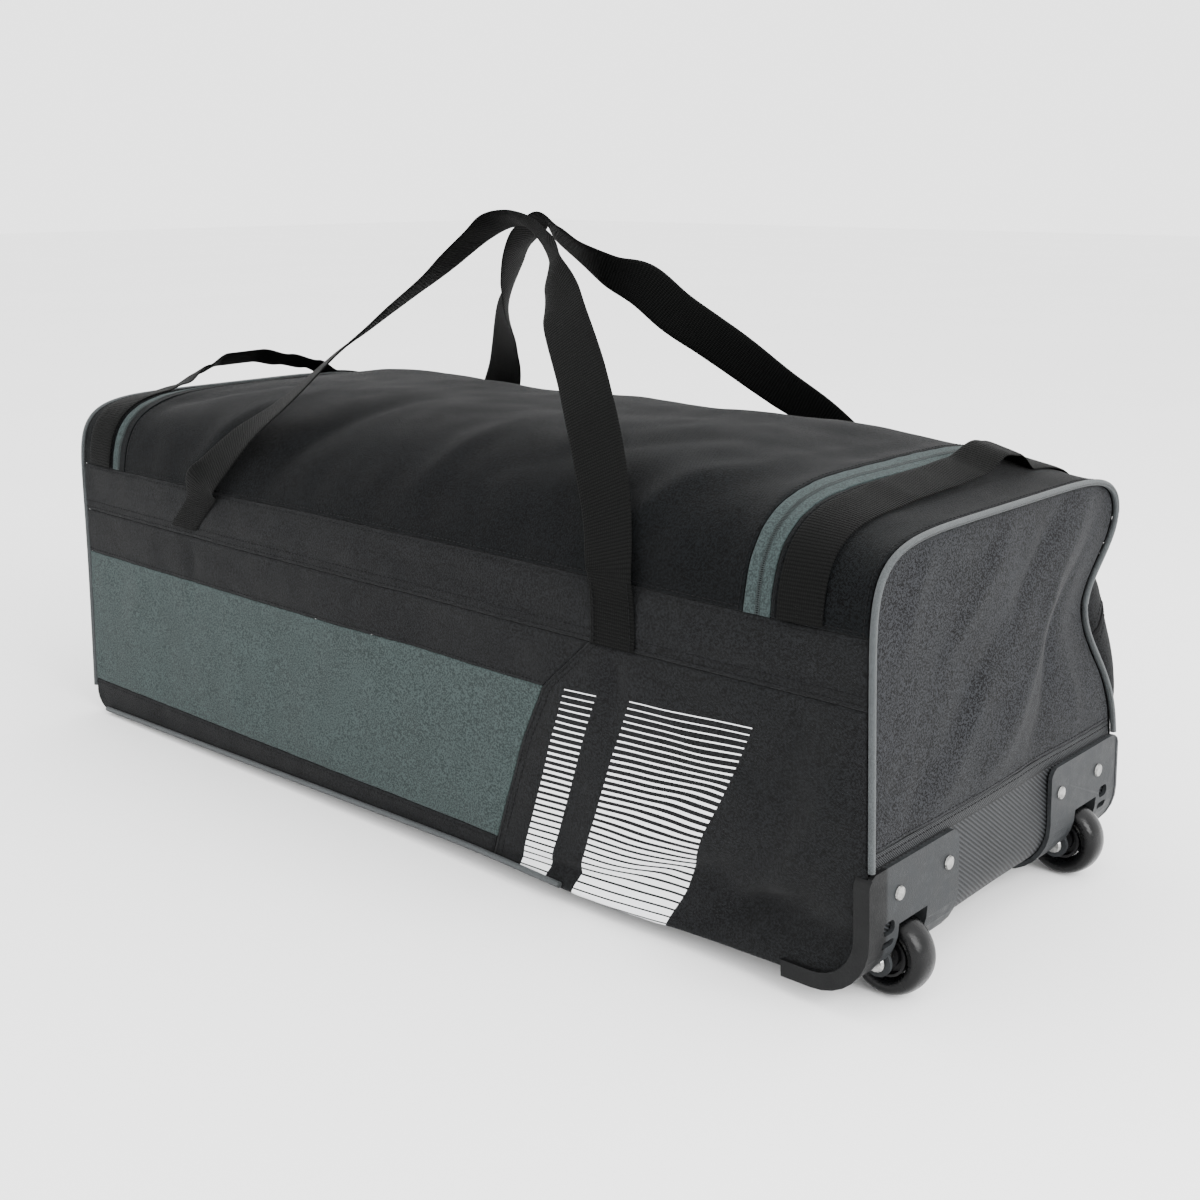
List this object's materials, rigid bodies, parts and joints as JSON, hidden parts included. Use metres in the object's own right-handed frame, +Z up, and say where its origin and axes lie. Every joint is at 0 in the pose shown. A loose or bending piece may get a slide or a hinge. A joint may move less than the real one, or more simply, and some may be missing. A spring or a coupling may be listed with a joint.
{
  "type": "wheeled kit bag",
  "caption": "Long soft cricket kit bag with webbing carry handles, a grab handle at each end, a side pocket and corner wheels for rolling.",
  "frame": {"origin": "on the floor under the middle of the bag's bounding box, as it stands on its wheels and the far edge of its base", "axes": "+X along the bag towards the wheeled end, +Y towards the side with the pocket, +Z up"},
  "size_m": [0.8828, 0.3798, 0.4699],
  "materials": {
    "black_cloth": "fine plain weave, matt",
    "grey_cloth": "fine plain weave, matt",
    "end_cloth": "fine plain weave, a little lighter",
    "black_webbing": "ribbed across its width",
    "grey_piping": "smooth covered cord",
    "grey_tape": "zip tape, fine weave",
    "ribbed_cloth": "tough cloth with fine ribs",
    "black_plastic": "lightly textured moulding",
    "black_rubber": "smooth, a little glossy",
    "steel": "plated"
  },
  "bodies": {
    "bag": {"front_base_strip": "black_cloth", "front_grey_panel": "grey_cloth", "front_upper_strip": "black_cloth", "front_striped_panel": "black_cloth", "front_band": "black_cloth", "back_panel": "black_cloth", "back_band": "black_cloth", "lid": "black_cloth", "zip_wheel_end_outer": "grey_tape", "zip_wheel_end_inner": "grey_tape", "zip_far_end_outer": "grey_tape", "zip_far_end_inner": "grey_tape", "zip_back_lower": "grey_tape", "zip_back_upper": "grey_tape", "gusset_wheel_end": "black_cloth", "gusset_far_end": "black_cloth", "wheel_end_panel": "end_cloth", "ribbed_panel": "ribbed_cloth", "far_end_panel": "end_cloth", "base_board": "ribbed_cloth", "piping_wheel_end": "grey_piping", "piping_far_end": "grey_piping", "piping_base_front": "grey_piping", "piping_base_back": "grey_piping", "carry_handle_front": "black_webbing", "carry_handle_back": "black_webbing", "grab_handle_wheel_end": "black_webbing", "grab_handle_far_end": "black_webbing", "pocket_pouch": "black_cloth", "wheel_bracket_front": "black_plastic", "wheel_bracket_back": "black_plastic", "rivet_front_1": "steel", "rivet_front_2": "steel", "rivet_back_1": "steel", "rivet_back_2": "steel", "axle_bolt_front": "steel", "axle_bolt_back": "steel"},
    "front_wheel": {"wheel_hub_front": "black_plastic", "wheel_tyre_front": "black_rubber"},
    "back_wheel": {"wheel_hub_back": "black_plastic", "wheel_tyre_back": "black_rubber"}
  },
  "joints": [
    {"name": "front_wheel_spin", "type": "hinge", "parent": "bag", "child": "front_wheel", "pos_m": [0.41387, -0.1328, 0.0275], "axis": [0, 1, 0], "continuous": true},
    {"name": "back_wheel_spin", "type": "hinge", "parent": "bag", "child": "back_wheel", "pos_m": [0.41387, 0.1032, 0.0275], "axis": [0, 1, 0], "continuous": true}
  ]
}
